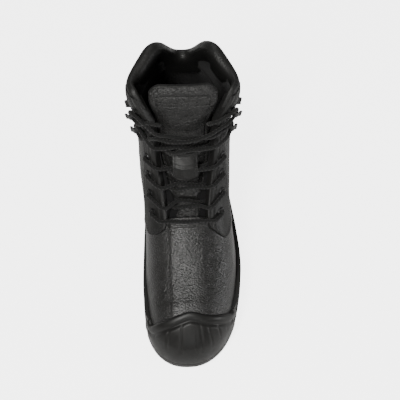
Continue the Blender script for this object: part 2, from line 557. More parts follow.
def stitches(curve, normals, pitch=2.7, length=2.0, r=0.34, lift=0.12):
    """Thread stitches along a curve (mm), each a small capsule pressed into the leather."""
    s = arc(curve); n = int(s[-1] / pitch)
    if n < 1: return
    a0 = (s[-1] - n * pitch) / 2
    mids = a0 + (np.arange(n) + 0.5) * pitch
    st = list(zip(s, np.arange(len(s), dtype=float)))

    def at(A, q): return np.stack([np.interp(q, s, A[:, k]) for k in range(3)], 1)
    for q in mids:
        t = np.linspace(-0.5, 0.5, 6)
        c = at(curve, q + t * length); nn = at(normals, q + t * length)
        nn /= np.linalg.norm(nn, axis=1, keepdims=True)
        h = lift - 0.62 * r * (2 * t) ** 4 - 0.25 * r
        c = c + nn * h[:, None]
        d = np.gradient(c, axis=0); d /= np.linalg.norm(d, axis=1, keepdims=True)
        b = np.cross(d, nn); b /= np.linalg.norm(b, axis=1, keepdims=True)
        rr = r * np.array([0.45, 0.9, 1.0, 1.0, 0.9, 0.45])
        k = 6; a = np.arange(k) * 2 * math.pi / k
        ringv = c[:, None] + (nn[:, None] * np.sin(a)[None, :, None] * 0.85 + b[:, None] * np.cos(a)[None, :, None]) * rr[:, None, None]
        base = STITCH["n"]
        STITCH["V"].append(ringv.reshape(-1, 3)); STITCH["F"].append(grid_faces(6, k, base, wrap=True))
        STITCH["F"].append(np.array([[base, base + 1, base + 2, base + 3], [base, base + 3, base + 4, base + 5], [base + 5 * k, base + 5 * k + 1, base + 5 * k + 2, base + 5 * k + 3], [base + 5 * k, base + 5 * k + 3, base + 5 * k + 4, base + 5 * k + 5]]))
        STITCH["n"] += 6 * k


def flush_stitches(name, body="boot"):
    if not STITCH["V"]: return
    o = make_mesh(name, np.concatenate(STITCH["V"]), np.concatenate(STITCH["F"]), M["thread"])
    if body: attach(o, body)
    STITCH["V"], STITCH["F"], STITCH["n"] = [], [], 0
    return o


def surf_curve(pts, h, drop=0.0):
    """A 3-D polyline projected on the surface and lifted by h. Returns the points and normals."""
    P = project(resample(pts, np.linspace(0, 1, max(12, int(arc(pts)[-1] / 1.2)))))
    N = normal(P)
    return P + N * h, N


# ------------------------------------------------------------------ facings, quarters
FACE_OUT = [(-31, 71.5), (-24, 71), (-14, 75), (-3, 85), (9, 99), (20, 115), (30, 133), (39, 152), (46, 170), (52, 188), (58, 200), (61.5, 205)]
FACE_IN = [(22.5, 87.0), (20.6, 91), (19.8, 96), (20.9, 103), (22.4, 110), (26.3, 128), (28.6, 150), (29.8, 172)]
sides = {"medial": -1, "lateral": 1}
FACE = {}


def groove(d, at, w=0.55, depth_=0.45):
    return -depth_ * np.exp(-((d - at) / w) ** 2)


for side, s in sides.items():
    zi = np.linspace(180, 206.5, 14)
    fi = dense(FACE_IN, 8)
    inner = np.concatenate([on(s * fi[:, 0], fi[:, 1]), side_pt(cat(EDGE_Y, zi) + 0.3, zi, s)])
    bottom = on(s * np.array([22.5, 25.5, 29, 33, 36.5, 39.5]), np.array([87.0, 84.6, 81.6, 77.6, 74.2, 72.0]))
    fo = dense(FACE_OUT, 8)
    outer = side_pt(fo[:, 0], fo[:, 1], s)
    outer[0] = bottom[-1] = (outer[0] + bottom[-1]) / 2
    inner[0] = bottom[0]
    yt = np.linspace(inner[-1, 1], outer[-1, 1], 8); zt = np.linspace(inner[-1, 2], outer[-1, 2], 8)
    top = side_pt(yt, zt, s)
    u = spread(44, 26.0, EDGE, EDGE); v = spread(230, 150.0, EDGE, None)
    P = project(coons(bottom, top, inner, outer, u, v)); N = normal(P)
    e = edge_dist(P, ("u0", "u1", "v0"))
    dmin = np.minimum(np.minimum(e["u0"], e["u1"]), e["v0"])
    H = roll(dmin, 1.75, 1.3)
    H += 0.65 * np.exp(-((e["u0"] - 3.6) / 2.3) ** 2) * ss(0, 1.2, dmin) + 0.08 * noise(P, 18, 3)
    H += groove(e["u0"], 7.4, 0.6, 0.5) * ss(2, 5, e["v0"])
    H += groove(e["u1"], 2.3, 0.5, 0.3) + groove(e["v0"], 2.3, 0.5, 0.3)
    H += -0.25 * np.exp(-((np.mod(P[..., 2] - 8, 15) - 7.5) / 4.5) ** 2) * np.exp(-((e["u0"] - 14) / 4) ** 2) * (P[..., 2] < 140)
    FACE[side] = (P, N, H, e)
    o = sheet("facing_leather_" + side, P, N, H, M["facing"], walls=("u0",), drop=7.6)
    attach(o, "boot"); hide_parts("facing_" + side)
    o2 = sheet("facing_edge_" + side, P[:, -6:], N[:, -6:], H[:, -6:], M["facing"], walls=("u1",), drop=2.2)
    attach(o2, "boot")
    o3 = sheet("facing_tab_" + side, P[:6], N[:6], H[:6], M["facing"], walls=("v0",), drop=2.2)
    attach(o3, "boot")
    jj = np.arange(P.shape[1])

    def col(dist, key, vlo=0.0):
        """Curve at a fixed distance from a u edge, over the panel's height."""
        out, nn = [], []
        for r in range(P.shape[0]):
            d = e[key][r]
            if e["v0"][r].min() < vlo - 40: continue
            order = np.argsort(d); k = np.interp(dist, d[order], order.astype(float))
            i0 = int(np.floor(k)); f = k - i0; i1 = min(i0 + 1, P.shape[1] - 1)
            q = P[r] + N[r] * H[r][:, None]
            out.append(q[i0] * (1 - f) + q[i1] * f); nn.append(N[r, i0])
        out, nn = np.array(out), np.array(nn)
        zz = arc(out)
        ok = zz > vlo
        return out[ok], nn[ok]
    for dist, key, vlo in ((7.4, "u0", 3.0), (2.3, "u1", 2.0), (5.0, "u1", 2.0)):
        c, nn = col(dist, key, vlo)
        stitches(c, nn)
    r = int(np.argmin(np.abs(e["v0"][:, 20] - 2.4)))
    stitches((P + N * H[..., None])[r, 4:-4], N[r, 4:-4])
    r = int(np.argmin(np.abs(e["v0"][:, 20] - 5.0)))
    stitches((P + N * H[..., None])[r, 8:-8], N[r, 8:-8])

    # quarter
    yb = np.linspace(17.0, 146.2, 40)
    zb = floor(yb) + 3.5
    bot = side_pt(yb, zb, s); bot[-1] = (cat(CENTRE, 147.0), float(cat(BACK, zb[-1])), zb[-1])
    zk = np.linspace(zb[-1], 171.0, 40)
    back = np.stack([np.full(40, float(cat(CENTRE, 140.0))), cat(BACK, zk), zk], 1); back[0] = bot[-1]
    ty = np.concatenate([np.linspace(54, 112, 26), [115, 117.5, 119.5, 121.0]])
    tz_ = cat(TOPLINE, ty) - 3.5
    topc = side_pt(ty, tz_, s); topc[-1] = back[-1]
    fr = dense([(17.2, 33.6), (4, 45), (-10, 58), (-19, 69), (-19.5, 77), (-8, 90), (4, 105), (16, 123), (26, 143), (36, 165), (45, 186), (51, 199), (54, float(cat(TOPLINE, 54.0)) - 3.5)], 6)
    front = side_pt(fr[:, 0], fr[:, 1], s); front[0] = bot[0]; front[-1] = topc[0]
    u = spread(200, 230.0, EDGE + [2.5, 3.5], None); v = np.linspace(0, 1, 170)
    P = project(coons(bot, topc, front, back, u, v), n=14); N = normal(P)
    e = edge_dist(P, ("u0",))["u0"]
    H = 0.15 + roll(e, 1.15, 1.1) * np.exp(-(e / 16.0) ** 2) * (1 - ss(70, 84, P[..., 2])) + 0.22 * noise(P, 46, 11) + 0.08 * noise(P, 16, 12)
    H += groove(e, 2.6, 0.5, 0.28) * (1 - ss(66, 74, P[..., 2]))
    # padded ankle: soft bulges under the collar, crease lines at the ankle bend
    zz, yy = P[..., 2], P[..., 1]
    H += 1.1 * ss(128, 160, zz) * ss(58, 84, yy) * (0.65 + 0.35 * np.cos((cat(TOPLINE, yy) - zz - 4) / 26.0 * 2 * math.pi))
    H += -0.45 * np.exp(-((zz - 118 - 0.20 * (yy - 40) - 3 * noise(P, 40, 13)) / 3.0) ** 2) * ss(20, 50, yy) * (1 - ss(100, 124, yy))
    H += -0.35 * np.exp(-((zz - 104 - 0.12 * (yy - 40) - 3 * noise(P, 36, 14)) / 2.6) ** 2) * ss(10, 35, yy) * (1 - ss(92, 118, yy))
    H += groove(cat(TOPLINE, yy) - zz, 27.0, 0.8, 0.5) * ss(60, 72, yy) * (zz > 120)
    o = sheet("quarter_leather_" + side, P, N, H, M["quarter"], walls=("u0",), drop=2.0)
    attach(o, "boot"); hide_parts("quarter_" + side)
    for dist in (2.6, 5.2):
        out, nn = [], []
        for r in range(P.shape[0]):
            k = int(np.argmin(np.abs(e[r] - dist)))
            if P[r, k, 2] < 76 and P[r, k, 2] > floor(P[r, k, 1]) + 9:
                out.append(P[r, k] + N[r, k] * H[r, k]); nn.append(N[r, k])
        if len(out) > 8: stitches(np.array(out), np.array(nn))
    cy = np.linspace(62, 119.5, 60); cz = cat(TOPLINE, cy) - 27.0
    cc = side_pt(cy, cz, s); cN = normal(cc)
    stitches(cc + cN * 0.55, cN)

# ------------------------------------------------------------------ backstay
BS = [(108, 38.5), (106, 44), (104, 62), (109, 78), (117, 92), (120, 110), (117.5, 130), (116, 150), (116, 164)]
bd = dense(BS, 8); c0 = side_pt(bd[:, 0], bd[:, 1], -1); c1 = side_pt(bd[:, 0], bd[:, 1], 1)


def round_back(zc, y0, n=30):
    """Round the heel at height zc between the medial and lateral points at y0."""
    yk = y0 + (float(cat(BACK, zc)) - y0) * np.sin(np.linspace(0, math.pi / 2, n))
    a = side_pt(yk[:-1], np.full(n - 1, zc), -1); b = side_pt(yk[:-1], np.full(n - 1, zc), 1)
    return np.concatenate([a, [[float(cat(CENTRE, yk[-1])), yk[-1], zc]], b[::-1]])


d0 = round_back(38.5, 108.0); d1 = round_back(164.0, 116.0)
d0[0], d0[-1], d1[0], d1[-1] = c0[0], c1[0], c0[-1], c1[-1]
u = spread(120, 128.0, None, EDGE); v = spread(130, 80.0, EDGE, EDGE)
P = project(coons(c0, c1, d0, d1, u, v), n=14); N = normal(P)
e = edge_dist(P, ("u1", "v0", "v1"))
dm = np.minimum(np.minimum(e["v0"], e["v1"]), e["u1"])
H = 0.3 + roll(dm, 1.5, 1.2) + groove(dm, 2.4, 0.5, 0.3) + groove(dm, 5.0, 0.5, 0.25) + 0.10 * noise(P, 30, 21)
o = sheet("backstay_leather", P, N, H, M["facing"], walls=("v0", "v1", "u1"), drop=2.4)
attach(o, "boot"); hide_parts("backstay")
for key, dist in (("v0", 2.4), ("v0", 5.0), ("v1", 2.4), ("v1", 5.0)):
    r = [int(np.argmin(np.abs(e[key][:, k] - dist))) for k in range(P.shape[1])]
    out = np.array([P[a, k] + N[a, k] * H[a, k] for k, a in enumerate(r)]); nn = np.array([N[a, k] for k, a in enumerate(r)])
    ok = out[:, 2] > floor(out[:, 1]) + 9
    stitches(out[ok], nn[ok])
flush_stitches("stitching_upper")

# ------------------------------------------------------------------ lace path (the part's own route), eyelet and hook frames
EYELETS = [(35.0, 91.0), (36.8, 102.5), (37.2, 116.5), (38.2, 131.5)]
HOOKS = [(42.5, 158.0), (46.0, 182.0)]
OT = 1.7


def gap(z): return float(cat(GAP, z))


def eye_frame(s, ax, z):
    p = on(s * ax, z, -OT); n = normal(p[None], -OT)[0]
    v = np.array([0, 0, 1.0]); v = v - n * v.dot(n); v /= np.linalg.norm(v)
    return p, np.cross(v, n), v, n


def hook_frame(s, ax, z):
    p = on(s * ax, z, -OT); n = normal(p[None], -OT)[0]
    v = np.array([0, 0.35, 1.0]); v = v - n * v.dot(n); v /= np.linalg.norm(v)
    x = np.cross(v, n)
    if x[1] < 0: x, v = -x, -v
    return p, x, v, n


EYE = {k: [eye_frame(s, *q) for q in EYELETS] for k, s in sides.items()}
HOOK = {k: [hook_frame(s, *q) for q in HOOKS] for k, s in sides.items()}
CROSS = [105.0, 118.5, 134.5, 155.0, 171.5]


def loc(f, a, b, c): return f[0] + f[1] * a + f[2] * b + f[3] * c


def onv(q): return on(q[0], q[1], q[2])


def half_lace(side, other, s, flip):
    pts = [onv((s * 0.6, 97.4, -2.9)), onv((s * 12, 97.0, -3.0)), onv((s * 21, 95.6, -3.9)), onv((s * 28, 93.4, -4.7))]
    pts[0][0] = -1.0
    here, there, sg = side, other, s
    for k in range(4):
        f = EYE[here][k]
        pts += [loc(f, 0, 0, 3.3), loc(f, 0, 0, -9.3)]
        inner = bool(flip) == (k % 2 == 0)
        z0, zc = EYELETS[k][1], CROSS[k]; g0 = gap(z0) + 0.3
        way = [(sg * (g0 + 6), z0 + 0.22 * (zc - z0), 7.7), (sg * g0, z0 + 0.45 * (zc - z0), 7.6)]
        deep, low = (4.4, 4.6) if inner else (0.3, 1.0)
        way += [(sg * 13, zc - 0.22 * (zc - z0), low), (sg * 7, zc - 0.1 * (zc - z0), deep), (-sg * 7, zc, deep)]
        if k < 3:
            z1 = EYELETS[k + 1][1]; g1 = gap(z1) + 0.3
            way += [(-sg * 14, zc - 0.25 * (zc - z1), deep * 0.5 - 1.2), (-sg * (g1 - 1.5), z1 + 0.45 * (zc - z1), -3.7), (-sg * (g1 + 4.5), z1 + 0.2 * (zc - z1), -4.6)]
        else:
            way += [(-sg * 15, zc + 0.3, deep * 0.5 - 1.4), (-sg * 25, zc + 0.2, -3.9), (-sg * 32, zc - 0.8, -5.4)]
        pts += [onv(w) for w in way]
        here, there, sg = there, here, -sg
    f = HOOK[here][0]
    pts += [loc(f, *q) for q in ((-6.5, -7.6, 3.6), (1.6, -6.6, 2.9), (4.15, -2.4, 2.7), (4.15, 2.4, 2.7), (1.6, 6.6, 2.9), (-6.5, 7.6, 3.4))]
    deep = -1.6 if flip else -5.6
    pts += [onv(w) for w in ((sg * 27, 168.8, -4.2), (sg * 13, CROSS[4] - 0.8, deep), (sg * 0.01, CROSS[4], deep), (-sg * 13, CROSS[4] + 1.6, deep), (-sg * 27, 175.0, -4.6))]
    here, sg = ("medial" if here == "lateral" else "lateral"), -sg
    f = HOOK[here][1]
    pts += [loc(f, *q) for q in ((-6.5, -7.6, 3.6), (1.6, -6.6, 2.9), (4.15, -2.4, 2.7), (4.15, 2.4, 2.7), (1.6, 6.6, 2.9), (-6.5, 7.4, 3.2))]
    pts += [onv(w) for w in ((sg * 33.5, 187.0, -3.6), (sg * 24.5, 182.5, 0.3), (sg * 23.0, 177.0, 4.6), (sg * 26.8, 171.0, 7.6), (sg * 31.5, 164.0, 7.8), (sg * 32.0, 159.5, 7.8))]
    return np.array(pts)


def rounded(pts, d=3.3, k=7):
    out = [pts[0]]
    for a, b, c in zip(pts, pts[1:], pts[2:]):
        u, v = a - b, c - b; lu, lv = np.linalg.norm(u), np.linalg.norm(v)
        p, q = b + u * min(d, lu * 0.49) / lu, b + v * min(d, lv * 0.49) / lv
        t = np.linspace(0, 1, k)[:, None]
        out += list(p * (1 - t)**2 + b * (2 * t * (1 - t)) + q * t * t)
    out.append(pts[-1])
    out = np.array(out); keep = [0]
    for i in range(1, len(out)):
        if np.linalg.norm(out[i] - out[keep[-1]]) > 0.3: keep.append(i)
    return out[keep]


LACES = [rounded(half_lace("medial", "lateral", -1, 0)), rounded(half_lace("lateral", "medial", 1, 1))]
WHOLE = np.concatenate([LACES[0][::-1], LACES[1][1:]])
L_len = arc(WHOLE)[-1]
LPTS = resample(WHOLE, np.linspace(0, 1, int(L_len / 0.55)))


def frames_along(C):
    T = np.gradient(C, axis=0); T /= np.linalg.norm(T, axis=1, keepdims=True)
    A = np.empty_like(C); a = np.cross(T[0], [0.3, 0.5, 0.8]); a /= np.linalg.norm(a)
    for i in range(len(C)):
        a = a - T[i] * a.dot(T[i]); a /= np.linalg.norm(a); A[i] = a
    return T, A, np.cross(T, A)


def cord(name, C, r, mat, sides_=22, braid=0.13, p=3.3, n=5):
    T, A, B = frames_along(C)
    th = np.linspace(0, 2 * math.pi, sides_, endpoint=False)
    s = arc(C)[:, None]
    ph = 2 * math.pi * s / p
    pat = np.maximum(np.sin(n * th[None] + ph), np.sin(n * th[None] - ph))
    R = r * (1 + 0.02 * np.sin(s / 17.0)) + braid * (pat - 0.5)
    V = C[:, None] + (A[:, None] * np.cos(th)[None, :, None] + B[:, None] * np.sin(th)[None, :, None]) * R[..., None]
    caps = []
    F = grid_faces(len(C), sides_, 0, wrap=True)
    V = V.reshape(-1, 3)
    ncap = len(V)
    V = np.concatenate([V, C[:1], C[-1:]])
    last_ = (len(C) - 1) * sides_
    tri = [(ncap, (i + 1) % sides_, i) for i in range(sides_)] + [(ncap + 1, last_ + i, last_ + (i + 1) % sides_) for i in range(sides_)]
    uv = np.concatenate([np.stack(np.broadcast_arrays(th[None] * r, s), -1).reshape(-1, 2), [[0, 0], [0, 0]]]) / 100.0
    me_faces = [tuple(f) for f in F] + tri
    return make_mesh(name, V, me_faces, mat, uv=uv)


lace = cord("lace_cord", LPTS, 1.86, M["lace"])
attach(lace, "boot"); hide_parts("lace")

# ------------------------------------------------------------------ tongue
TONGUE = [(84, 21), (96, 22.5), (112, 25), (130, 27.5), (150, 28), (170, 28), (181, 28), (190, 30.5), (207, 32.5), (222, 32.5)]


def tongue_mid(xs, z):
    """Depth of the tongue's middle surface."""
    return 9.3 + 4.8 * ss(5, 25, np.abs(xs)) * (1 - 0.9 * ss(160, 190, z)) - 1.2 * ss(186, 210, z)


def tongue_t(xs, z, d):
    half_thick = 4.9 * np.sqrt(np.maximum(0, 1 - (1 - np.clip(d / 6.5, 0, 1)) ** 2))
    return tongue_mid(xs, z) - half_thick, tongue_mid(xs, z) + half_thick


def tongue_at(xs, z, t):
    """Inside the facings the tongue follows the foot; above the hooks it stands as a nearly flat pad."""
    k = ss(140, 186, z)
    a = on(np.clip(xs, -30.5, 30.5) * (1 - 0.25 * k), z, t)
    yc = front_y(z, 9.3 * np.ones_like(z)) + (t - 9.3) * 1.05
    yflat = yc + (15.0 - 13.6 * ss(168, 208, z)) * (np.abs(xs) / 31.0) ** 2.5
    y = a[..., 1] * (1 - k) + yflat * k
    return np.stack([cat(CENTRE, y) + xs, y, z], -1)


def grid_normal(Pg, ref):
    du = np.gradient(Pg, axis=1); dv = np.gradient(Pg, axis=0)
    n = np.cross(du, dv); n /= np.maximum(np.linalg.norm(n, axis=-1, keepdims=True), 1e-9)
    sgn = np.sign((n * ref).sum(-1, keepdims=True)); sgn[sgn == 0] = 1
    return n * sgn


nu, nv = 150, 300
uu = np.sin(np.linspace(-math.pi / 2, math.pi / 2, nu)) * 0.55 + np.linspace(-1, 1, nu) * 0.45
vv = np.linspace(0, 1, nv) ** 0.97
vv = np.concatenate([vv[vv < 0.93], np.linspace(0.93, 1, 40)[0:]])
nv = len(vv)
Z0 = 90.0
w_of = cat(TONGUE, Z0 + 129 * vv)
XS = uu[None] * w_of[:, None]
ZT = 219.0 - 7.5 * np.clip((np.abs(XS) - 19) / 13.5, 0, 1) ** 2.4
ZZ = Z0 + (ZT - Z0) * vv[:, None]
d_side = w_of[:, None] - np.abs(XS); d_top = (ZT - ZZ)
d_b = np.minimum(d_side, d_top) - 0.8 * np.exp(-np.abs(d_side - d_top) / 3.0) * np.minimum(1, np.minimum(d_side, d_top) / 2.0)
d_b = np.maximum(d_b, 0); d_b[:, 0] = d_b[:, -1] = 0; d_b[-1] = 0
tf, tb = tongue_t(XS, ZZ, d_b)
Pf = tongue_at(XS, ZZ, tf); Nf = grid_normal(tongue_at(XS, ZZ, tongue_mid(XS, ZZ)), np.array([0, -0.8, 0.6]))
# soft relief: pressed in by the lace and the keeper, full between them
seg = LPTS[::2]
flat = Pf.reshape(-1, 3); nf = Nf.reshape(-1, 3)
push = np.zeros(len(flat)); closeness = np.full(len(flat), 1e9)
for k in range(0, len(flat), 4000):
    q = flat[k:k + 4000]; nn = nf[k:k + 4000]
    w = q[:, None] - seg[None]
    hgt = (w * nn[:, None]).sum(2)                      # height of the skin over the cord's centre
    lat = np.sqrt(np.maximum((w**2).sum(2) - hgt**2, 0))
    r = 2.25
    under = (np.abs(hgt) < 12)
    need = np.where(under & (lat < r), hgt + np.sqrt(np.maximum(r * r - lat**2, 0)), -1e9)
    soft = np.where(under, hgt + 1.9 - np.maximum(lat - r, 0) * 0.62, -1e9)
    push[k:k + 4000] = np.maximum(need.max(1), soft.max(1))
    closeness[k:k + 4000] = np.where(under & (hgt > -9), lat, 1e9).min(1)
push = np.maximum(push, 0).reshape(XS.shape); push = np.minimum(push, 7.5)
relief = 0.22 * noise(Pf, 20, 31) + 0.12 * noise(Pf, 9, 32) + 0.5 * noise(Pf, 52, 33)
relief *= ss(0, 4, d_b)
# a stitched channel follows the edge
relief += groove(d_b, 7.0, 0.9, 0.9) * (ZZ > 100) + groove(ZT - ZZ, 17.0, 0.9, 0.55) * (np.abs(XS) < w_of[:, None] - 7.0)
Vf = Pf + Nf * (relief - push)[..., None]
Pb = tongue_at(XS, ZZ, tb); Nb = Nf
Vb = Pb + Nb * (-0.25 * noise(Pb, 24, 35) * ss(0, 4, d_b) - 0.8 * push * 0)[..., None]
keepb = np.minimum(((Vf - Vb) * Nf).sum(-1), 99)
thin = keepb < 2.2
Vb = np.where((thin & (d_b > 1.5))[..., None], Vf - Nf * 2.2, Vb)
Vb[:, 0], Vb[:, -1], Vb[-1] = Vf[:, 0], Vf[:, -1], Vf[-1]
nvv, nuu = XS.shape
front_faces = grid_faces(nvv, nuu, 0); back_faces = grid_faces(nvv, nuu, nvv * nuu, flip=True)
a = Vf[5, 5]; fn = np.cross(Vf[5, 6] - a, Vf[6, 5] - a)
if fn.dot(Nf[5, 5]) < 0: front_faces, back_faces = front_faces[:, ::-1], back_faces[:, ::-1]
duu = np.concatenate([np.zeros((nvv, 1)), np.cumsum(np.linalg.norm(np.diff(Vf, axis=1), axis=2), 1)], 1)
uvt = np.stack([duu, ZZ], -1).reshape(-1, 2) / 100.0
tongue = make_mesh("tongue_leather", np.concatenate([Vf.reshape(-1, 3), Vb.reshape(-1, 3)]), np.concatenate([front_faces, back_faces]), M["tongue"], uv=np.concatenate([uvt, uvt]))
tongue.data.materials.append(M["lining"])
pm = np.zeros(len(tongue.data.polygons), int); pm[len(front_faces):] = 1
tongue.data.polygons.foreach_set("material_index", pm)
bm_weld = tongue.modifiers.new("weld", "WELD"); bm_weld.merge_threshold = 0.00002
HP = np.array([0.0, 0.04087, 0.184])


def hinge_pt(z):
    p = on(0.01, z, 10.0)
    return tuple(((p + SHIFT) / 1000.0).tolist())


def bake(o):
    """Applies an object's modifiers to its mesh."""
    dg = bpy.context.evaluated_depsgraph_get()
    me = bpy.data.meshes.new_from_object(o.evaluated_get(dg))
    o.modifiers.clear(); old = o.data; o.data = me; bpy.data.meshes.remove(old)


bake(tongue)
START, END = hinge_pt(176.0), hinge_pt(192.0)
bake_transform(tongue)
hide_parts("tongue_leather_lower", "tongue_leather_top", "tongue_padding_lower", "tongue_padding_top", "tongue_lining_lower", "tongue_lining_top")
# its edge stitching
row = []
for dist in (7.0,):
    path, pn = [], []
    for sgn in (-1, 1):
        cur, cn = [], []
        for r in range(nvv):
            if ZZ[r, nuu // 2] < 100 or ZT[r, nuu // 2] - ZZ[r, nuu // 2] < 7: continue
            hidx = np.arange(nuu // 2) if sgn < 0 else np.arange(nuu // 2, nuu)
            k = hidx[int(np.argmin(np.abs(d_b[r, hidx] - dist)))]
            cur.append(Vf[r, k]); cn.append(Nf[r, k])
        if sgn < 0: path += cur; pn += cn
        else: path += cur[::-1]; pn += cn[::-1]
        if sgn < 0:
            mid, mn = [], []
            for c in range(0, nuu, 3):
                if abs(XS[-1, c]) < 24:
                    r = int(np.argmin(np.abs(d_b[:, c] - dist) + 1e3 * (ZZ[:, c] < 195)))
                    mid.append(Vf[r, c]); mn.append(Nf[r, c])
            path += mid; pn += mn
    stitches(np.array(path), np.array(pn), pitch=3.0)
ts = flush_stitches("stitching_tongue", None)
if ts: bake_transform(ts)

# ------------------------------------------------------------------ keeper strap
ku = spread(46, 25.0, EDGE, EDGE); kv = spread(90, 37.0, EDGE, EDGE)
KX = (ku * 2 - 1)[None] * 12.4 * np.ones((len(kv), 1)); KZ = 119.8 + 27.4 * kv[:, None] * np.ones((1, len(ku)))
lf = ss(121.5, 129, KZ) * (1 - ss(138, 144.5, KZ))
base_t = tongue_mid(KX, KZ) - 4.9 + 1.0
kt = base_t * (1 - lf) + (-1.9 + 0.010 * KX**2) * lf
KP = on(KX, KZ, kt); KN = normal(KP)
dk = np.minimum(np.minimum((ku * 25.0)[None], ((1 - ku) * 25.0)[None]), np.minimum((kv * 37.0)[:, None], ((1 - kv) * 37.0)[:, None]))
KH = roll(dk, 1.7, 1.0) + 0.08 * noise(KP, 12, 41) + groove(dk, 2.2, 0.5, 0.3) + groove(KZ, 139.5, 0.7, 0.7) + groove(KZ, 127.5, 0.7, 0.5)
ko = sheet("keeper_strap", KP, KN, KH, M["facing"], walls=("u0", "u1", "v0", "v1"), drop=2.0)
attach(ko, "boot"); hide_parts("lace_keeper")
KV = KP + KN * KH[..., None]
ui = [int(np.argmin(np.abs(ku * 25 - q))) for q in (2.2, 22.8)]; vi = [int(np.argmin(np.abs(kv * 37 - q))) for q in (2.2, 34.8)]
for c in ui: stitches(KV[vi[0]:vi[1], c], KN[vi[0]:vi[1], c], 2.4, 1.8)
for r in vi + [int(np.argmin(np.abs(KZ[:, 0] - 142.5))), int(np.argmin(np.abs(KZ[:, 0] - 125.0)))]: stitches(KV[r, ui[0]:ui[1]], KN[r, ui[0]:ui[1]], 2.4, 1.8)
flush_stitches("stitching_keeper")

# ------------------------------------------------------------------ gussets
for side, s in sides.items():
    gu = np.linspace(0, 1, 26)[None]; gz = np.linspace(91, 142, 80)[:, None]
    xs = s * (cat(TONGUE, gz) - 2.0 + gu * 11.0)
    t = 11.5 - 5.4 * gu ** 1.2 + 1.6 * np.sin(gu * math.pi) + 0.5 * np.sin(gz / 4.5 + 3 * gu) * np.sin(gu * math.pi)
    gp = on(xs, gz * np.ones_like(gu), t)
    o = grid_mesh("gusset_bellows_" + side, gp, M["gusset"])
    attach(o, "boot"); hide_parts("gusset_" + side)

# ------------------------------------------------------------------ inner lining and collar


def pad_in(y, z): return 4.3 + 5.2 * ss(118, 180, z) * ss(46, 74, y)


def edge_y(z, side):
    """Front edge of the lining: straight through the thickness from the facing's edge."""
    z = np.asarray(z, float)
    low = on(side * (cat(GAP, np.minimum(z, 177)) + 0.8), np.minimum(z, 177), 0.0)
    high = side_pt(cat(EDGE_Y, np.maximum(z, 177)) + 0.8, np.maximum(z, 177), side)
    k = ss(172, 182, z)[..., None]
    p = low * (1 - k) + high * k
    n = normal(np.stack([p[..., 0], p[..., 1], z], -1))
    return p[..., 1] - 5.6 * n[..., 1]


def lining_pt(q, z, side):
    """q 0 at the front edge, 1 at the back centre."""
    t = 5.5
    yf = edge_y(z, side)
    yb = cat(BACK, z) - pad_in(cat(BACK, z), z) - 1.2
    y = yf + (yb - yf) * (1 - np.cos(math.pi * (0.12 + 0.88 * q))) / 2
    y = y - (yb - yf) * (1 - math.cos(math.pi * 0.12)) / 2 * (1 - q)
    top = cat(TOPLINE, np.maximum(y, 50.0))
    t = pad_in(y, z) + 1.2 - 1.3 * ss(top - 33, top - 24, z)
    return side_pt(y, z, side, t)


qs = np.linspace(0, 1, 90)
sides_pts = []
for side, s in (("medial", -1), ("lateral", 1)):
    z = np.full(90, 200.0)
    for _ in range(12):
        p = lining_pt(qs, z, s); z = 0.6 * z + 0.4 * (cat(TOPLINE, p[:, 1] + 9 * ss(0.6, 1, qs)) - 5.5)
    ztop = z
    vz = np.linspace(0, 1, 120)[:, None]
    Zg = 58 + (ztop[None] - 58) * vz
    sides_pts.append(lining_pt(qs[None] * np.ones_like(Zg), Zg, s))
LP = np.concatenate([sides_pts[0], sides_pts[1][:, ::-1][:, 1:]], axis=1)
LN = normal(LP)
# textile folds near the back, seam where the heel lining meets the collar lining
xx, yy, zz = LP[..., 0], LP[..., 1], LP[..., 2]
HL = 0.35 * noise(LP, 30, 51) + 0.9 * ss(95, 112, yy) * np.sin(xx / 2.6) * ss(120, 150, zz) * 0.35 * (1 - ss(182, 196, zz))
arcd = np.hypot(xx + 1.2, (zz - 190) * 1.0)
seam_l = zz - (168 - 0.018 * (xx + 1) ** 2)
HL += (0.8 * np.exp(-(seam_l / 1.2) ** 2) * ss(80, 96, yy))
o = grid_mesh("shaft_lining_cloth", LP - LN * HL[..., None], M["lining"])
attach(o, "boot"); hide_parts("shaft_lining")

ry = np.concatenate([np.linspace(50.5, 108, 60), np.linspace(109, 121.3, 40)])
rim_m = side_pt(ry, cat(TOPLINE, ry), -1); rim_l = side_pt(ry, cat(TOPLINE, ry), 1)
cpt = np.array([[float(cat(CENTRE, 121.5)), 121.5, 174.0]])
zf = np.linspace(196.0, 209.5, 9); ye = cat(EDGE_Y, zf) + 0.3
rim_m = np.concatenate([side_pt(ye, zf, -1), rim_m]); rim_l = np.concatenate([side_pt(ye, zf, 1), rim_l])
rim = np.concatenate([rim_m, cpt, rim_l[::-1]])
RU = np.linspace(0, 1, 420)
R = resample(rim, RU)
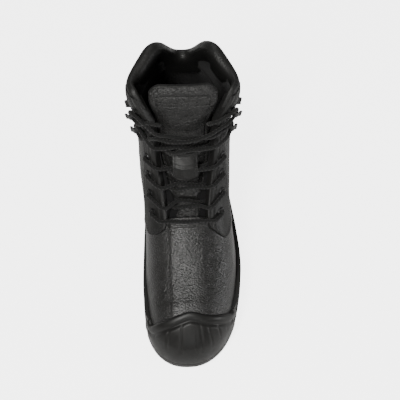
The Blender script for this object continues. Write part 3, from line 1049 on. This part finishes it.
# soften the corner points of the notch a little
for _ in range(90): R[1:-1] = 0.25 * R[:-2] + 0.5 * R[1:-1] + 0.25 * R[2:]
RN = normal(R)
for _ in range(220): RN[1:-1] = 0.25 * RN[:-2] + 0.5 * RN[1:-1] + 0.25 * RN[2:]
RN /= np.linalg.norm(RN, axis=1, keepdims=True)
RT = np.gradient(R, axis=0); RT /= np.linalg.norm(RT, axis=1, keepdims=True)
RB = np.cross(RT, RN); RB /= np.linalg.norm(RB, axis=1, keepdims=True)
if RB[60, 2] < 0: RB = -RB
for _ in range(160): RB[1:-1] = 0.25 * RB[:-2] + 0.5 * RB[1:-1] + 0.25 * RB[2:]
RB /= np.linalg.norm(RB, axis=1, keepdims=True)
SEC = [(11.0, -0.5), (10.6, 0.35), (10.0, 0.95), (9.0, 1.25), (7.6, 1.35), (6.4, 1.15), (5.7, 0.55), (5.0, 1.05), (4.0, 1.45), (2.6, 1.55), (1.2, 1.25), (0.0, 0.5), (-1.0, -0.7), (-1.6, -2.1), (-1.9, -3.7), (-1.8, -5.3), (-1.4, -6.9), (-0.5, -8.5), (0.9, -9.8), (2.8, -10.8), (5.2, -11.4), (8.2, -11.7), (12.0, -11.75), (17.0, -11.7), (22.0, -11.6), (25.0, -11.45), (26.0, -10.9), (26.3, -10.0)]
sec = resample(np.array(SEC, float), np.linspace(0, 1, 60))
thick = 6.3 + 5.0 * ss(52, 84, R[:, 1])
kk = thick / 11.3
wr = 0.35 * noise(R, 20, 61)
taper = np.minimum(1.0, np.minimum(arc(R), arc(R)[-1] - arc(R)) / 3.0)
V = np.empty((len(R), len(sec), 3))
for j, (d, h) in enumerate(sec):
    hh = np.where(h < 0, h * kk, h) + np.where(-10 < h < 0, wr * 0.6, 0)
    mid_h = -thick / 2
    hh = mid_h + (hh - mid_h) * (0.55 + 0.45 * np.sqrt(np.maximum(0, 1 - (1 - taper) ** 2)))
    V[:, j] = R - RB * d + RN * hh[:, None]
a = V[100, 10]; flipc = np.cross(V[100, 11] - a, V[101, 10] - a).dot(RN[100]) < 0
nvv2, nuu2 = V.shape[:2]
Vc = np.concatenate([V.reshape(-1, 3), V[0].mean(0)[None], V[-1].mean(0)[None]])
Fc = [tuple(f) for f in grid_faces(nvv2, nuu2, 0, flip=bool(flipc))]
c0i, c1i = nvv2 * nuu2, nvv2 * nuu2 + 1
Fc += [(c0i, i, i + 1) for i in range(nuu2 - 1)] + [(c1i, (nvv2 - 1) * nuu2 + i + 1, (nvv2 - 1) * nuu2 + i) for i in range(nuu2 - 1)]
sR = arc(R)
uvc = np.concatenate([np.stack(np.broadcast_arrays(sR[:, None], arc(sec)[None]), -1).reshape(-1, 2), [[0, 0], [0, 0]]]) / 100.0
o = make_mesh("collar_roll", Vc, Fc, M["collar"], uv=uvc)
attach(o, "boot"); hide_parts("collar_binding", "collar_padding")
stitches(R[6:-6] - RB[6:-6] * 5.7 + RN[6:-6] * 0.62, RN[6:-6], 2.8)
stitches(R[6:-6] - RB[6:-6] * 9.4 + RN[6:-6] * 1.15, RN[6:-6], 2.8)
flush_stitches("stitching_collar")

# ------------------------------------------------------------------ rubber bumper over the toe
C0 = np.array([-0.5, -98.0, 26.0])
tops = np.array([(-37.5, -115.4), (-29.4, -117.8), (-21, -117.2), (-13, -115.2), (-1, -112.2), (8, -113.2), (16, -114.6), (24, -113.6), (31.8, -110.8), (39.4, -105.6)], float)
tp3 = top_pt(tops[:, 0], tops[:, 1])
med = side_pt(np.array([-103.5, -104.5, -106.0, -108.8]), np.array([8.3, 18.0, 27.5, 36.5]), -1)
lat = side_pt(np.array([-101.0, -96.5, -94.0, -92.5]), np.array([36.5, 27.5, 18.0, 8.3]), 1)
rear_c = np.concatenate([med, tp3, lat])
cu = spread(240, 210.0, None, None); cv = spread(120, 60.0, EDGE + [2.4, 3.2], EDGE)
RC = resample(rear_c, cu)
azm = math.atan2(med[0, 0] - C0[0], -(med[0, 1] - C0[1])); azl = math.atan2(lat[-1, 0] - C0[0], -(lat[-1, 1] - C0[1]))
az = azm + (azl - azm) * ss(0, 1, cu) * 0.35 + (azl - azm) * cu * 0.65
zlow = np.full(len(cu), 8.3)
for _ in range(8):
    Cb = np.stack([np.full(len(cu), C0[0]), np.full(len(cu), C0[1]), zlow], 1)
    BC = cast(Cb, np.stack([np.sin(az), -np.cos(az), np.zeros(len(cu))], 1))
    zlow = ground(BC[:, 1]) + 8.3 - 5.3 * ss(0.10, 0.34, cu) * (1 - ss(0.66, 0.90, cu))
BC[0], BC[-1] = RC[0], RC[-1]
dr = RC - C0; dr /= np.linalg.norm(dr, axis=1, keepdims=True)
db = BC - C0; db /= np.linalg.norm(db, axis=1, keepdims=True)
om = np.arccos(np.clip((dr * db).sum(1), -1, 1))[None]
W = cv[:, None]
so = np.maximum(np.sin(om), 1e-6)
Dn = (np.sin((1 - W) * om) / so)[..., None] * dr[None] + (np.sin(W * om) / so)[..., None] * db[None]
Dn = np.where((om < 1e-3)[..., None], dr[None], Dn); Dn /= np.linalg.norm(Dn, axis=-1, keepdims=True)
P = cast(C0, Dn); N = normal(P)
e = edge_dist(P, ("v0",))["v0"]
# distance to the rear edge is taken in space so that it stays true where rows are skewed
tree = RC
dist = np.full(P.shape[:2], 1e9)
for k in range(0, len(RC), 1):
    dist = np.minimum(dist, np.linalg.norm(P - RC[k], axis=-1))
dist[0] = 0
d = dist
H = 3.3 * np.sqrt(np.maximum(0, 1 - (1 - np.clip(d / 2.4, 0, 1)) ** 2)) + 0.35
H += 0.55 * np.exp(-((d - 4.2) / 2.8) ** 2) * ss(0, 2, d)
H += -0.95 * np.exp(-((d - 8.9) / 1.7) ** 2)
H += 0.75 * ss(9, 13, d)
px_, py_ = P[..., 0], P[..., 1]
for xa, xb in ((-31, -39), (-19, -22.5), (-7.5, -9.5), (8.5, 11), (16, 21.5), (25, 32), (34.5, 43)):
    ax_, ay_, bx_, by_ = xa, -121.0, xb, -143.5
    L2 = (bx_ - ax_) ** 2 + (by_ - ay_) ** 2
    tt = ((px_ - ax_) * (bx_ - ax_) + (py_ - ay_) * (by_ - ay_)) / L2
    tc = np.clip(tt, -0.05, 1.0)
    dd = np.hypot(px_ - ax_ - tc * (bx_ - ax_), py_ - ay_ - tc * (by_ - ay_))
    H += -0.62 * np.exp(-(dd / 0.8) ** 2) * ss(9.6, 11.2, d) * ss(33, 40, P[..., 2]) + 0.10 * np.exp(-((dd - 2.2) / 1.1) ** 2) * ss(10, 12, d) * ss(33, 40, P[..., 2])
# moulded lines low on the toe and the parting line
zrel = P[..., 2] - ground(py_) - 8.3
H += groove(zrel, 3.0, 0.6, 0.4) * ss(14, 20, d)
H += 0.28 * np.exp(-((px_ - 3.6) / 0.35) ** 2) * ss(16, 20, d) * (py_ < -128)
H += 0.06 * noise(P, 22, 71)
o = sheet("bumper_rubber_shell", P, N, H, M["bumper"], walls=("v0", "v1"), drop=3.4)
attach(o, "boot"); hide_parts("scuff_cap")

# ------------------------------------------------------------------ midsole wall


def sole_ring(e_out, n=760):
    yf = float(front_y(32.0, -e_out)); yb = float(cat(BACK, 32.0)) + e_out
    q = np.linspace(0, 1, 200); y = yf + (yb - yf) * (1 - np.cos(math.pi * q)) / 2
    bump = ss(-92, -50, y) * (1 - ss(-10, 50, y))
    xl = half(y, np.full_like(y, 32.0), np.ones_like(y), -e_out) + 1.6 * bump; xm = half(y, np.full_like(y, 32.0), -np.ones_like(y), -e_out) - 0.6 * bump
    xl[0] = xm[0] = xl[-1] = xm[-1] = 0
    a = np.stack([cat(CENTRE, y) + xl, y], 1); b = np.stack([cat(CENTRE, y) - xm, y], 1)
    loop = np.concatenate([a, b[::-1][1:]])
    s = np.concatenate([[0], np.cumsum(np.hypot(*np.diff(loop, axis=0).T))])
    qq = np.linspace(0, s[-1], n, endpoint=False)
    return np.stack([np.interp(qq, s, loop[:, 0]), np.interp(qq, s, loop[:, 1])], 1)


O = sole_ring(3.3)
tg = np.roll(O, -1, 0) - np.roll(O, 1, 0); tg /= np.linalg.norm(tg, axis=1, keepdims=True)
for _ in range(5): tg = 0.25 * np.roll(tg, 1, 0) + 0.5 * tg + 0.25 * np.roll(tg, -1, 0)
tg /= np.linalg.norm(tg, axis=1, keepdims=True)
on2 = np.stack([tg[:, 1], -tg[:, 0]], 1)
if (on2 * (O - O.mean(0))).sum() < 0: on2 = -on2
yO = O[:, 1]
waist = 9.5 * ss(-2, 14, yO) * (1 - ss(52, 60, yO))
zb_ = ground(yO) + 8.0 + waist; zt_ = floor(yO) + 8.2
sO = np.arange(len(O)) * np.linalg.norm(O[1] - O[0])
prof = [(-0.02, -3.0, 0), (0.0, 0.1, 0), (0.02, 0.4, 0), (0.05, 0.5, 0)]
ws = np.concatenate([[-0.03, 0.0, 0.015, 0.04], np.linspace(0.07, 0.90, 60), [0.93, 0.955, 0.975, 0.99, 1.0, 1.0, 1.0, 0.985]])
rows = []
for k, w in enumerate(ws):
    off = 0.15 - 0.7 * np.clip(w, 0, 1)
    if w < 0: off = -3.0
    off = np.full(len(O), float(off))
    H_mm = (zt_ - zb_)
    zmm = np.clip(w, 0, 1) * H_mm
    top = H_mm - zmm
    if w >= 0:
        off += 0.75 * (1 - ss(2.4, 3.0, top))                       # lip under the upper
        off += -0.9 * np.exp(-((top - 3.6) / 0.55) ** 2)              # groove below the lip
        off += -0.45 * np.exp(-((zmm - 3.0) / 0.4) ** 2)
        # upright flutes round the heel and along the outer forefoot
        zone = ss(84, 92, yO) + (1 - ss(-30, -22, yO)) * ss(-92, -86, yO)
        off += -0.55 * zone * ss(4.0, 5.0, zmm) * ss(4.6, 5.6, top) * (0.5 + 0.5 * np.cos(sO * 2 * math.pi / 4.2)) ** 3
        off += -0.40 * (1 - zone) * np.exp(-((zmm - H_mm * 0.45) / 0.5) ** 2)
    extra = [0.0, -0.25, -1.5, -4.6]
    if k >= len(ws) - 4: off = off + extra[k - (len(ws) - 4)]
    z = zb_ + w * H_mm
    p = O + on2 * off[:, None]
    rows.append(np.concatenate([p, z[:, None]], 1))
V = np.array(rows)
start = int(np.argmin(np.where(O[:, 0] > 0, np.abs(yO + 104.0), 1e9))); stop = int(np.argmin(np.where(O[:, 0] < 0, np.abs(yO + 113.0), 1e9)))
pick = np.arange(min(start, stop), max(start, stop) + 1)
if yO[pick].max() < 100: pick = np.concatenate([np.arange(max(start, stop), len(O)), np.arange(0, min(start, stop) + 1)])
V = V[:, pick]
tuck = np.minimum(np.arange(len(pick)), np.arange(len(pick))[::-1]) * (sO[1] - sO[0])
V[..., :2] -= on2[pick][None] * (1.9 * (1 - ss(3.0, 12.0, tuck)))[None, :, None]
a = V[30, 40]; fl2 = np.cross(V[30, 41] - a, V[31, 40] - a)[:2].dot(on2[pick[40]]) < 0
o = grid_mesh("midsole_wall", V, M["midsole"], flip=bool(fl2))
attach(o, "boot"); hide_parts("midsole")

# ------------------------------------------------------------------ footbed
fy = np.linspace(-136, 132, 150)[:, None]; fxu = np.linspace(-1, 1, 70)[None]
zf_ = floor(fy) + 3.8 + 5.0 + 3.0 * ss(60, 140, fy)
wl = half(fy, zf_, np.ones_like(fy), 6.4); wm = half(fy, zf_, -np.ones_like(fy), 6.4)
fx = cat(CENTRE, fy) + np.where(fxu > 0, fxu * wl, fxu * wm)
fz = zf_ + 2.2 * np.abs(fxu) ** 3 - 0.9 * ss(80, 100, fy) * (1 - fxu**2) + 0.12 * np.sin(fx / 1.6) * np.sin(fy / 1.6)
o = grid_mesh("footbed_cloth", np.stack([fx, fy * np.ones_like(fx), fz], -1), M["footbed"])
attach(o, "boot")

# ------------------------------------------------------------------ CAD pieces that stay in view take their finish here
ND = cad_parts


def finish_cad(node, mat, bevel=0.0, shade=True):
    o = ND[node]
    o.data.materials.clear(); o.data.materials.append(mat)
    if bevel:
        b = o.modifiers.new("edge", "BEVEL"); b.width = bevel / 1000.0; b.segments = 2; b.limit_method = "ANGLE"; b.angle_limit = math.radians(38)
    return o


for n in ("eyelets_medial", "eyelets_lateral"): finish_cad(n, M["metal"])
for n in ("hooks_medial", "hooks_lateral"): finish_cad(n, M["metal"], 0.35)
for n in ("hook_rivets_medial", "hook_rivets_lateral"): finish_cad(n, M["metal"])
finish_cad("outsole", M["outsole"], 0.5)
finish_cad("shank", M["steel"])
finish_cad("aglets", M["plastic"])
for n, m in (("insole_board", "lining"), ("penetration_plate", "lining"), ("toe_cap", "plastic"), ("heel_stiffener", "lining"), ("vamp_lining", "lining"), ("footbed", "footbed")):
    finish_cad(n, M[m])

# ------------------------------------------------------------------ stage, camera, light
me = bpy.data.meshes.new("floor"); S = 6.0
me.from_pydata([(-S, -S, 0), (S, -S, 0), (S, S, 0), (-S, S, 0)], [], [(0, 1, 2, 3)])
fl = bpy.data.objects.new("floor", me); bpy.context.scene.collection.objects.link(fl)
fm, nt, b = nodes_of("floor_white")
b.inputs["Base Color"].default_value = (0.88, 0.88, 0.88, 1); b.inputs["Roughness"].default_value = 0.9; b.inputs["Specular IOR Level"].default_value = 0.1
lp = add(nt, "ShaderNodeLightPath"); em = add(nt, "ShaderNodeMath", operation="MULTIPLY"); em.inputs[1].default_value = 4.0
nt.links.new(lp.outputs["Is Camera Ray"], em.inputs[0]); b.inputs["Emission Color"].default_value = (1, 1, 1, 1); nt.links.new(em.outputs[0], b.inputs["Emission Strength"])
me.materials.append(fm)

EL, AZ, ROLL, DIST = math.radians(62.5), math.radians(-0.5), math.radians(1.0), 1.1
cvec = np.array([math.sin(AZ) * math.cos(EL), -math.cos(AZ) * math.cos(EL), math.sin(EL)])
right = np.array([math.cos(AZ), math.sin(AZ), 0.0]); upv = np.cross(cvec, right)
cr, sr = math.cos(ROLL), math.sin(ROLL)
# the picture is turned anticlockwise by ROLL, so the camera's own axes turn clockwise
r2 = right * cr - upv * sr; u2 = right * sr + upv * cr
T0 = (np.array([0, 0, 80.0]) + SHIFT) / 1000.0
cam_d = bpy.data.cameras.new("cam"); cam = bpy.data.objects.new("cam", cam_d); bpy.context.scene.collection.objects.link(cam)
m = Matrix(((r2[0], u2[0], cvec[0], T0[0] + cvec[0] * DIST), (r2[1], u2[1], cvec[1], T0[1] + cvec[1] * DIST), (r2[2], u2[2], cvec[2], T0[2] + cvec[2] * DIST), (0, 0, 0, 1)))
cam.matrix_world = m
cam_d.sensor_width = 36.0; cam_d.lens = 1080.2 * 36.0 / 400.0
cam_d.shift_x = 13.0 / 400.0; cam_d.shift_y = 1.8 / 400.0
cam_d.clip_start = 0.01; cam_d.clip_end = 50
bpy.context.scene.camera = cam


def area(name, loc_, target, size, power, color=(1, 1, 1), size_y=None):
    d = bpy.data.lights.new(name, "AREA"); d.energy = power; d.size = size; d.color = color
    if size_y: d.shape = "RECTANGLE"; d.size_y = size_y
    o = bpy.data.objects.new(name, d); bpy.context.scene.collection.objects.link(o)
    o.location = loc_; o.rotation_euler = (Vector(target) - Vector(loc_)).to_track_quat("-Z", "Y").to_euler()
    return o


area("key", (-0.38, -0.62, 1.35), (0, -0.04, 0.07), 0.16, 20, (1.0, 0.99, 0.965), 0.80)
area("back", (-0.1, 1.3, 1.5), (0, 0.05, 0.15), 0.9, 6)
area("right", (1.2, -0.30, 0.30), (0, -0.05, 0.05), 0.22, 4)
area("front", (0.1, -1.3, 0.65), (0, -0.12, 0.04), 0.6, 2.5)
wd = bpy.context.scene.world or bpy.data.worlds.new("world"); bpy.context.scene.world = wd
wd.use_nodes = True
bg = wd.node_tree.nodes.get("Background") or wd.node_tree.nodes.new("ShaderNodeBackground")
bg.inputs[0].default_value = (1, 0.99, 0.97, 1); bg.inputs[1].default_value = 0.14
